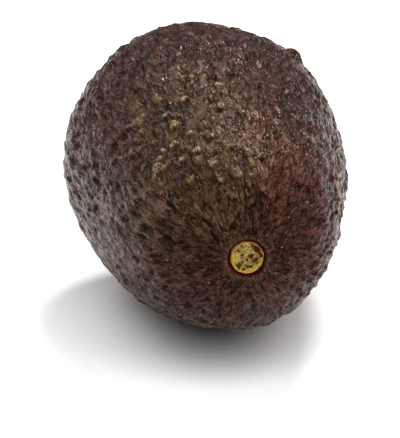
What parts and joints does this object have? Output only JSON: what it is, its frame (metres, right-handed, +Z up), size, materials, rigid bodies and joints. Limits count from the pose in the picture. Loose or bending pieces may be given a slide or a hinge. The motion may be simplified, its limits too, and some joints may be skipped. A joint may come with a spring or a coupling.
{
  "type": "avocado",
  "caption": "Whole dark avocado with pebbled skin, lying on its side, with its stem broken off to show a pale round scar.",
  "frame": {"origin": "on the surface that the fruit lies on, in its flat spot, under its weight", "axes": "+Z up, -Y from the middle of the fruit to its stem end, +Y to its blossom end, +X across"},
  "size_m": [0.0752, 0.1061, 0.0739],
  "materials": {
    "skin": "pebbled, satin",
    "stem_scar": "fresh cork, pitted, dull"
  },
  "bodies": {
    "root": {"avocado": "skin"}
  },
  "joints": []
}
